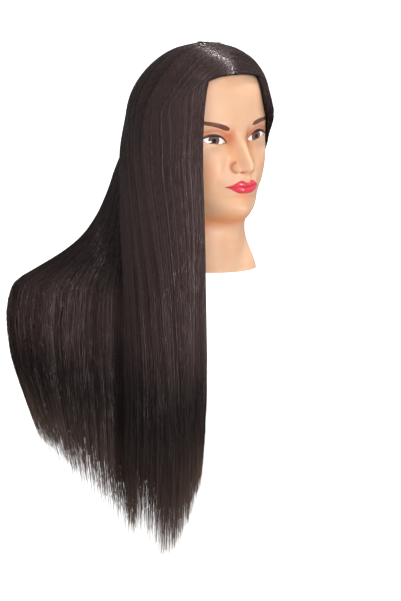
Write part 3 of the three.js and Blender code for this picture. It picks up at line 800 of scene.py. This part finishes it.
def scalp_lines(rows):
    """Directions from the skull's centre along each strand, from its root to where it leaves."""
    root_x, root_y, angle, latitude = rows[:, PATH_END:].T
    rise = SKULL["high"] * (1 - ((root_y - SKULL["y"]) / (2 * SKULL["wide"])) ** 2)
    root = unit(np.stack([root_x, root_y - SKULL["y"], rise], -1))
    leaving = unit(skull(np.radians(latitude), np.radians(angle)) - SKULL_CENTRE)
    arc = np.arccos(np.clip((root * leaving).sum(-1), -1, 1))[:, None, None]
    share = np.linspace(0, 1, SCALP_STEPS)[None, :, None]
    turned = np.sin((1 - share) * arc) * root[:, None] + np.sin(share * arc) * leaving[:, None]
    return unit(turned / np.sin(arc))


def control_lines(rows):
    """Control points and outward looks of each row's strand, from root to tip."""
    grow, look = rows[:, 0], np.radians(rows[:, 2])
    path = rows[:, 3:PATH_END].reshape(-1, PATH_POINTS, 3)
    hanging = np.cos(look)[:, None] * OUT + np.sin(look)[:, None] * DEEP
    points = path[..., :1] * OUT + path[..., 1:2] * DEEP + path[..., 2:] * np.array([0, 0, 1])
    looks = np.repeat(hanging[:, None], PATH_POINTS, 1)
    if rows.shape[1] == PATH_END:  # hair of the nape, which has no part on the scalp
        return points, looks
    scalp = scalp_lines(rows)
    looks[:, 0] = unit(hanging * 0.5 + scalp[:, -1] * 0.5)
    on_skull = skull_along(scalp, grow[:, None])
    return np.concatenate([on_skull, points], 1), np.concatenate([scalp, looks], 1)


def strand_points(rows, places, shares, depth):
    """Points of strands at places along a sheet, `depth` mm inside its outer side."""
    values = rows_between(rows, places)
    controls, looks = control_lines(values)
    outer = along_lines(controls, shares)
    look = unit(along_lines(looks, shares))
    thick = np.maximum(values[:, 1][:, None] * (1 - 0.5 * shares), 1)
    clear = 0.8 + 3.2 * np.clip(1 - depth / thick, 0, 1)
    points = outside_skull(outer - look * depth[..., None], clear)
    return outside_sections(points, clear), look


def by_height(points):
    """One of the head's section curves as heights and the points at them, in rising order."""
    fine = through(points, np.linspace(0, 1, 200))
    fine = fine[np.argsort(fine[:, 2])]
    return fine[:, 2], fine


FRONT_CURVE, SIDE_CURVE, BACK_CURVE = (by_height(curve) for curve in (FRONT, SIDE, BACK))


def read_curve(curve, z, column):
    heights, points = curve
    return np.interp(z, heights, points[:, column])


def outside_skull(points, clear):
    """Moves points that are inside the skull, above its widest level, to `clear` mm outside it."""
    direction = unit(points - SKULL_CENTRE)
    shell = skull_along(direction, clear)
    inside = np.linalg.norm(points - SKULL_CENTRE, axis=-1) < np.linalg.norm(shell - SKULL_CENTRE, axis=-1)
    move = inside & (points[..., 2] >= SKULL["z"])
    return np.where(move[..., None], shell, points)


def outside_sections(points, clear):
    """Moves points that are inside the face or neck out to `clear` mm from their sections."""
    x, y, z = np.moveaxis(points, -1, 0)
    front = read_curve(FRONT_CURVE, z, 1) - clear
    back = read_curve(BACK_CURVE, z, 1) + clear
    wide = read_curve(SIDE_CURVE, z, 0) + clear
    middle = read_curve(SIDE_CURVE, z, 1)
    depth = np.where(y < middle, middle - front, back - middle)
    power = SKULL["plan"]
    within = (np.abs(x / wide) ** power + np.abs((y - middle) / depth) ** power) ** (1 / power)
    scale = np.where((z < SKULL["z"]) & (z > 0) & (within < 1), 1 / np.maximum(within, 0.2), 1)
    return np.stack([x * scale, middle + (y - middle) * scale, z], -1)


# --- hair: the inner layers

def smooth_noise(count, step, size):
    """A wandering line of numbers with one knot every `step` places."""
    knots = RNG.normal(0, size, int(count / step) + 4)
    return profile(np.arange(count) / step, np.arange(len(knots)), knots)


INNER_END = 0.955  # the share of a strand's length that the inner layer reaches
INNER_STATIONS, INNER_COLUMNS = 40, 80  # points down an inner layer, and across each key span


def spread_steps(stations):
    """Steps from 0 to 1 down a strand, closer together on the head."""
    return np.interp(np.linspace(0, 1, stations), (0, 0.6, 1), (0, 0.5, 1))[None, :]


def build_inner(sheet, material):
    """The dark inner layer of a sheet: a thin closed body under its strands."""
    columns = INNER_COLUMNS * (sheet.span[1] - sheet.span[0]) + 1
    places = np.linspace(*sheet.span, columns)
    finish = INNER_END + RNG.random(columns) * 0.014 + smooth_noise(columns, 6, 0.005)
    finish = finish - np.interp(places, sheet.span, sheet.cut)
    steps = spread_steps(INNER_STATIONS)
    shares = steps * np.minimum(finish, 0.98)[:, None]
    thinning = (1 - 0.5 * shares) * (1 - 0.85 * smooth(0.85, 1.0, steps))
    thick = rows_between(sheet.rows, places)[:, 1:2] * thinning
    wave = 0.5 * np.sin(places[:, None] * 61 + 3 * shares) + RNG.normal(0, 0.35, columns)[:, None]
    outer, look = strand_points(sheet.rows, places, shares, 1.3 + wave * 0.35)
    inner = outer - look * np.maximum(thick - 1.6, 0.4)[..., None]
    points = np.concatenate([outer, inner[::-1]]).transpose(1, 0, 2)
    near = np.arange(columns - 1)
    far = 2 * columns - 1 - near
    tip = np.stack([near, near + 1, far - 1, far], 1)
    tube = grid_faces(INNER_STATIONS, 2 * columns)
    faces = np.concatenate([tube, tip[:, ::-1], tip + (INNER_STATIONS - 1) * 2 * columns])
    piece = make_mesh(f"{sheet.name}_inner", points, [faces], material)
    across = np.concatenate([places, places[::-1]]) * ACROSS_SCALE
    add_attributes(piece, across=np.tile(across, INNER_STATIONS),
                   along=np.concatenate([shares, shares[::-1]]).T)
    stand_in(piece, "hair", *sheet.nodes)


# --- hair: the strands

BEND = (-122, -84)  # heights where hanging hair turns from painted shade to painted light
SHEEN = (-76, 12)  # height and spread of its brightest band of painted sheen
SHOULDER = ((150, 70), (0, -42))  # heights where draped hair turns to painted shade, and to painted light again


def painted_light_by_height(z, level, draped):
    """Painted light and shade of a strand at each height: painted light above the bend of the hair,
    painted shade below it and a band of painted sheen.

    Draped hair also gets painted shade over the shoulder it hangs from.
    """
    caught = level * smooth(*BEND, z) + 0.3 * bump(z - SHEEN[0], SHEEN[1])
    shoulder = smooth(*SHOULDER[0], z) * (1 - smooth(*SHOULDER[1], z))
    return caught * (1 - shoulder) if draped else caught


def gathered(rows, places, shares, depth, locks):
    """Points of strands that draw together towards their locks on the way down."""
    points, look = strand_points(rows, places, shares, depth)
    nearest = locks[np.argmin(np.abs(places[:, None] - locks[None, :]), 1)]
    locked, _ = strand_points(rows, nearest, shares, depth)
    pull = (0.5 * RNG.random(len(places))[:, None] ** 0.7) * smooth(0.45, 1.0, shares)
    return points + (locked - points) * pull[..., None], look


def wander(points, look, shares):
    """Small sideways swings of each strand, larger towards its tip."""
    side = unit(np.cross(look, unit(np.gradient(points, axis=1))))
    sway = RNG.normal(0, 1, (len(points), 3))
    drift = sway[:, :1] * np.sin(3.1 * shares + sway[:, 1:2] * 3) + 0.5 * sway[:, 2:] * np.sin(9 * shares)
    loose = 0.2 + 1.6 * smooth(0.55, 1.0, shares) ** 2
    return points + side * (drift * loose)[..., None]


def roof_ribbons(points, look, half):
    """Two narrow faces per step that meet in a ridge along each strand, seen from outside."""
    ahead = unit(np.gradient(points, axis=1))
    side = unit(np.cross(look, ahead))
    twist = RNG.normal(0, 0.45, (len(points), 1, 1))
    tilted = unit(side + look * twist)
    sunk = unit(np.cross(ahead, tilted)) * (half * 0.7)[..., None]
    left = points - tilted * half[..., None] - sunk
    right = points + tilted * half[..., None] - sunk
    vertices = np.stack([left, points, right], 2).reshape(-1, 3)
    count, stations = half.shape
    base = (np.arange(count) * stations * 3)[:, None] + np.arange(stations - 1)[None, :] * 3
    first = np.stack([base, base + 1, base + 4, base + 3], -1).reshape(-1, 4)
    second = np.stack([base + 1, base + 2, base + 5, base + 4], -1).reshape(-1, 4)
    return vertices, np.concatenate([first, second])


STATIONS = 26  # points along a strand
STRAND_WIDTH = 0.62
ROOT_SHARES = (-0.036, 0.016)  # where strands start, as shares of the key strands' length
TIP_SHARES = (0.953, 1.004)  # where they end
LOCKS_PER_KEY = 40


def place_strands(sheet):
    """Places of a sheet's strands and locks across it, and each strand's shares of its length."""
    low, high = sheet.span
    places = RNG.uniform(low, high, sheet.count)
    locks = np.linspace(low, high, int((high - low) * LOCKS_PER_KEY))
    locks = np.clip(locks + RNG.normal(0, 0.25 / LOCKS_PER_KEY, len(locks)), low, high)
    start = RNG.uniform(*ROOT_SHARES, sheet.count)
    finish = rescale(RNG.beta(1.5, 1.4, sheet.count), 0, 1, *TIP_SHARES)
    finish = finish - np.interp(places, sheet.span, sheet.cut)
    return places, locks, start[:, None] + (finish - start)[:, None] * spread_steps(STATIONS)


def build_strands(sheet, material):
    """The loose strands of a sheet of hair."""
    places, locks, shares = place_strands(sheet)
    count = sheet.count
    thick = rows_between(sheet.rows, places)[:, 1:2] * (1 - 0.5 * shares)
    sunk = 60 * np.maximum(0.005 - shares, 0)  # roots go into the scalp
    depth = thick * RNG.random(count)[:, None] ** 1.6 - 0.35 + sunk
    points, look = gathered(sheet.rows, places, shares, depth, locks)
    points = wander(points, look, shares)
    steps = spread_steps(STATIONS)
    taper = np.minimum(1, (1.02 - steps) / 0.1) * np.minimum(1, 0.4 + steps * 12)
    half = STRAND_WIDTH * RNG.uniform(0.6, 1.3, (count, 1)) * taper / 2
    vertices, faces = roof_ribbons(points, look, half)
    piece = make_mesh(f"{sheet.name}_strands", vertices, [faces], material)
    lock_tint = np.interp(places, locks, RNG.random(len(locks)))
    tint = np.clip(0.7 * RNG.random(count) + 0.32 * lock_tint, 0, 1)
    level = np.interp(places, sheet.span, sheet.level)[:, None]
    fields = {
        "tint": tint[:, None] + 0 * shares,
        "across": places[:, None] * ACROSS_SCALE + 0 * shares,
        "along": shares,
        # painted light and shade by height, laid into the strands' colour
        "lit": painted_light_by_height(points[..., 2], level, sheet.rows is rear),
        "tip": 0.9 * smooth(sheet.tips_from, 1.0, shares),
    }
    add_attributes(piece, **{name: np.repeat(values, 3) for name, values in fields.items()})
    stand_in(piece, "hair", *sheet.nodes)


# --- materials of the object

SKIN_TINTS = (  # attribute, strength and colour, in the order they are laid on
    # painted shade under the jaw
    ("under", 0.8, (230, 152, 98)),
    # painted shade beside the nose, under the lower lip and at the jaw
    ("painted_warm_shade", 0.6, (232, 154, 100)),
    ("blush", 0.45, (236, 160, 128)),
    ("shadow", 0.95, (208, 118, 72)),
    # painted highlight on the lids
    ("painted_lid_highlight", 1.0, (238, 190, 180)),
    # painted shade in the nostrils and round the nose's wings
    ("painted_nose_shade", 1.0, (176, 100, 62)),
)


def skin_material():
    material, tree = new_material("vinyl skin")
    mottle = map_range(tree, noise(tree, 38, 4), 0.3, 0.7)
    base = mix_colour(tree, mottle, (234, 186, 150), (238, 192, 158))
    for name, strength, colour in SKIN_TINTS:
        base = mix_colour(tree, times(tree, attribute(tree, name), strength), base, colour)
    hairs = map_range(tree, noise(tree, 900, 2, (1, 1, 0.3)), 0.35, 0.7)
    parting = map_range(tree, attribute(tree, "parting"), 1.1, 0.0)
    paints = (  # attribute, where its edge fades and its colour
        ("brow", -0.35, 0.45, mix_colour(tree, hairs, (104, 50, 38), (132, 76, 60))),
        # the lips darken towards the line where they meet, as painted shade in that crease
        ("lips", -0.3, 0.35, mix_colour(tree, parting, (230, 66, 88), (184, 40, 58))),
        ("liner", -0.3, 0.5, (52, 30, 28)),
        ("scalp", 1.5, 4.0, (34, 24, 22)),
    )
    for name, low, high, colour in paints:
        base = mix_colour(tree, map_range(tree, attribute(tree, name), low, high), base, colour)
    gloss = map_range(tree, attribute(tree, "lips"), -0.2, 0.4, 0.42, 0.13)
    shade(tree, Base_Color=base, Roughness=gloss, Normal=raised(tree, noise(tree, 700), 0.06, 0.0004),
          Subsurface_Weight=0.3, Subsurface_Radius=(1.0, 0.42, 0.2), Subsurface_Scale=0.006)
    return material


def eye_material():
    material, tree = new_material("eye")
    away = attribute(tree, "away")
    fibres = noise_over(tree, attribute(tree, "spoke"), times(tree, away, 0.12), Scale=9.0, Detail=3.0)
    iris = mix_colour(tree, map_range(tree, fibres, 0.35, 0.65), (92, 62, 58), (126, 92, 86))
    ring = map_range(tree, away, IRIS - 1.6, IRIS - 0.2)
    iris = mix_colour(tree, ring, iris, (58, 40, 40))
    iris = mix_colour(tree, map_range(tree, away, PUPIL + 0.3, PUPIL - 0.3), iris, (14, 8, 8))
    white = mix_colour(tree, map_range(tree, away, 9, 16), (246, 243, 240), (226, 205, 196))
    base = mix_colour(tree, map_range(tree, away, IRIS + 0.45, IRIS - 0.45), white, iris)
    # the eye glows faintly with its own colour, painted light that brightens the whites
    shade(tree, Base_Color=base, Roughness=0.1, Emission_Color=base, Emission_Strength=0.12)
    return material


def lash_material():
    material, tree = new_material("lash")
    shade(tree, Base_Color=mix_colour(tree, noise(tree, 300), (30, 18, 16), (46, 30, 28)), Roughness=0.5)
    return material


GLINT = (255, 231, 227)  # dark hair reflects warm light
# HAIR_DARK is the hair in painted shade; HAIR_WARM and HAIR_LIGHT are the strands' own tones, shown where
# painted light falls
HAIR_DARK, HAIR_WARM, HAIR_LIGHT = (13, 7, 7), (54, 40, 40), (86, 69, 66)


def strand_material():
    material, tree = new_material("hair strands")
    tint, along = attribute(tree, "tint"), attribute(tree, "along")
    streak = mix_colour(tree, map_range(tree, tint, 0.6, 1.0), HAIR_WARM, HAIR_LIGHT)
    # the painted light attribute mixes each strand from HAIR_DARK, its painted shade, to its own tone
    lit = times(tree, attribute(tree, "lit"), map_range(tree, tint, 0.0, 0.5, 0.35, 1.0))
    base = mix_colour(tree, lit, HAIR_DARK, streak)
    base = mix_colour(tree, attribute(tree, "tip"), base, (112, 90, 80))
    across = times(tree, attribute(tree, "across"), 0.7)
    patches = noise_over(tree, across, times(tree, along, 60), Scale=1.0, Detail=2.0)
    shade(tree, Base_Color=base, Roughness=map_range(tree, patches, 0.38, 0.62, 0.17, 0.5),
          Specular_IOR_Level=0.3, Specular_Tint=GLINT)
    return material


def inner_hair_material():
    material, tree = new_material("hair underneath")
    along = times(tree, attribute(tree, "along"), 1.5)
    fine = noise_over(tree, attribute(tree, "across"), along, Scale=2.2, Detail=6.0, Roughness=0.75)
    base = mix_colour(tree, map_range(tree, fine, 0.35, 0.7), (14, 8, 8), (30, 22, 22))
    shade(tree, Base_Color=base, Roughness=0.5, Normal=raised(tree, fine, 0.7, 0.0012),
          Specular_IOR_Level=0.2, Specular_Tint=GLINT)
    return material


def foam_material():
    material, tree = new_material("foam")
    cells = add_node(tree, "ShaderNodeTexVoronoi", Vector=object_place(tree), Scale=420).outputs["Distance"]
    base = mix_colour(tree, cells, (214, 196, 156), (236, 222, 190))
    shade(tree, Base_Color=base, Roughness=0.95, Normal=raised(tree, cells, 0.5, 0.001))
    return material


def socket_material():
    material, tree = new_material("black plastic")
    base = mix_colour(tree, noise(tree, 120), (32, 32, 34), (44, 44, 46))
    shade(tree, Base_Color=base, Roughness=0.42, Normal=raised(tree, noise(tree, 1500), 0.15, 0.0003))
    return material


def give_node(node, material):
    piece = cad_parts[node]
    piece.data.materials.clear()
    piece.data.materials.append(material)
    piece.data.polygons.foreach_set("material_index", [0] * len(piece.data.polygons))


# --- building it all

skin = skin_material()
build_head(skin)
for side, name in ((-1, "right"), (1, "left")):
    build_ear(side, f"ear_{name}", skin)
    build_eye(side, f"looking_{name}", eye_material())
    build_lashes(side, f"lashes_{name}", lash_material())

inner = inner_hair_material()
strands = strand_material()

# Each sheet of hair: the rows of key strands it lies on and the span of keys it fills, the CAD
# nodes it stands for, how many strands it has, how much painted light it catches at its two
# sides, how much shorter its ends are at its two sides and where its brown tips begin.
Sheet = namedtuple("Sheet", "name rows span nodes count level cut tips_from", defaults=((0, 0), 0.975))


def numbered(kind, first, last):
    return tuple(f"{kind}_{number}" for number in range(first, last + 1))


right, rear, nape = key_rows(RIGHT), key_rows(REAR), key_rows(NAPE)
SHEETS = [
    Sheet("side_front", right, (0, 1), numbered("hair_right", 1, 2), 1700, (1.3, 1.0)),
    Sheet("side_middle", right, (1, 2), numbered("hair_right", 3, 4), 1800, (1.0, 0.85)),
    Sheet("side_rear", right, (2, 3), ("hair_right_5",), 1700, (0.85, 0.6), (0, 0.008)),
    Sheet("side_inner", right, (3, 4), ("hair_right_6",), 700, (0.6, 0.5), (0.008, 0.02)),
    Sheet("fan_near", rear, (0, 1), numbered("hair_fan", 1, 4), 1950, (0.85, 0.85), (-0.008, 0), 0.965),
    Sheet("fan_edge", rear, (1, 2), ("hair_fan_edge",), 900, (0.85, 0.85), tips_from=0.93),
    Sheet("back_outer", rear, (2, 3), numbered("hair_back", 1, 3), 1200, (0.85, 0.7), tips_from=0.965),
    Sheet("back_middle", rear, (3, 4), numbered("hair_back", 4, 5), 1000, (0.7, 0.7)),
    Sheet("left_rear", rear, (4, 5), numbered("hair_left", 1, 2), 1100, (0.7, 0.8)),
    Sheet("left_front", rear, (5, 7), numbered("hair_left", 3, 4), 1100, (0.8, 0.9)),
    Sheet("nape", nape, (0, 3), numbered("hair_nape", 1, 3), 500, (0.5, 0.5), tips_from=0.965),
]
for sheet in SHEETS:
    build_inner(sheet, inner)
    build_strands(sheet, strands)

for node, material in (("foam_core", foam_material()), ("neck_insert", socket_material())):
    give_node(node, material)


# --- stage, lights and camera

FLOOR = -0.75  # the head is held up at working height, and its hair hangs free above the floor


def studio_material(name):
    """Pale and evenly lit, as studio paper is."""
    material, tree = new_material(name)
    tint = mix_colour(tree, noise(tree, 3), (241, 241, 241), (243, 243, 243))
    shade(tree, Base_Color=tint, Roughness=0.9, Emission_Color=tint, Emission_Strength=1.2)
    return material


def build_stage():
    """The floor and a round wall of paper. They are seen, but throw no light on the object."""
    corners = np.array([(-14, -14, FLOOR), (14, -14, FLOOR), (14, 14, FLOOR), (-14, 14, FLOOR)])
    floor = make_mesh("floor", corners / MM, [[[0, 1, 2, 3]]], studio_material("floor paper"))
    turns = np.linspace(0, 2 * math.pi, 96, endpoint=False)
    ring = np.stack([13 * np.cos(turns), 13 * np.sin(turns)], -1)
    rows = [np.column_stack([ring * share, np.full(96, height)])
            for share, height in ((1, FLOOR + 0.01), (1, 6), (0.5, 9), (0.01, 10))]
    wall = make_mesh("wall", np.concatenate(rows) / MM, [grid_faces(len(rows), 96)],
                     studio_material("wall paper"))
    for piece in (floor, wall):
        piece.visible_diffuse = False
        piece.visible_glossy = False
    wall.visible_shadow = False


build_stage()
world = bpy.data.worlds.new("studio")
bpy.context.scene.world = world
world.use_nodes = True
world.node_tree.nodes["Background"].inputs["Color"].default_value = (1, 1, 1, 1)
world.node_tree.nodes["Background"].inputs["Strength"].default_value = 0.45


def put(thing, place, target):
    """Puts a lamp or the camera in its place, turned to its target."""
    thing.location = place
    thing.rotation_mode = "QUATERNION"
    thing.rotation_quaternion = (Vector(target) - Vector(place)).to_track_quat("-Z", "Y")
    bpy.context.scene.collection.objects.link(thing)


def add_light(name, place, target, width, power):
    """A square lamp."""
    light = bpy.data.lights.new(name, "AREA")
    light.size = width
    light.energy = power
    put(bpy.data.objects.new(name, light), place, target)


AHEAD = Vector((0.588, 0.809, 0))  # the way the camera looks, seen from above
ACROSS = Vector((0.809, -0.588, 0))
UP = Vector((0, 0, 1))
add_light("key", -AHEAD * 1.5 + ACROSS * 0.45 + UP * 1.0, (0, 0, 0.1), 0.5, 7)
add_light("fill", -AHEAD * 1.4 - ACROSS * 1.3 + UP * 0.5, (0, 0, 0), 1.2, 5)
add_light("low", -AHEAD * 1.5 + ACROSS * 0.7 - UP * 0.25, (0, 0, 0.05), 0.35, 13)
add_light("crown", AHEAD * 0.3 + ACROSS * 0.35 + UP * 1.3, (0, 0, 0.2), 0.12, 14)

camera = bpy.data.objects.new("camera", bpy.data.cameras.new("camera"))
camera.data.lens = 145
camera.data.clip_end = 60
put(camera, -AHEAD * 2.87 + UP * 0.43, ACROSS * -0.0106 + UP * -0.042)
bpy.context.scene.camera = camera
bpy.context.scene.view_settings.view_transform = "Standard"
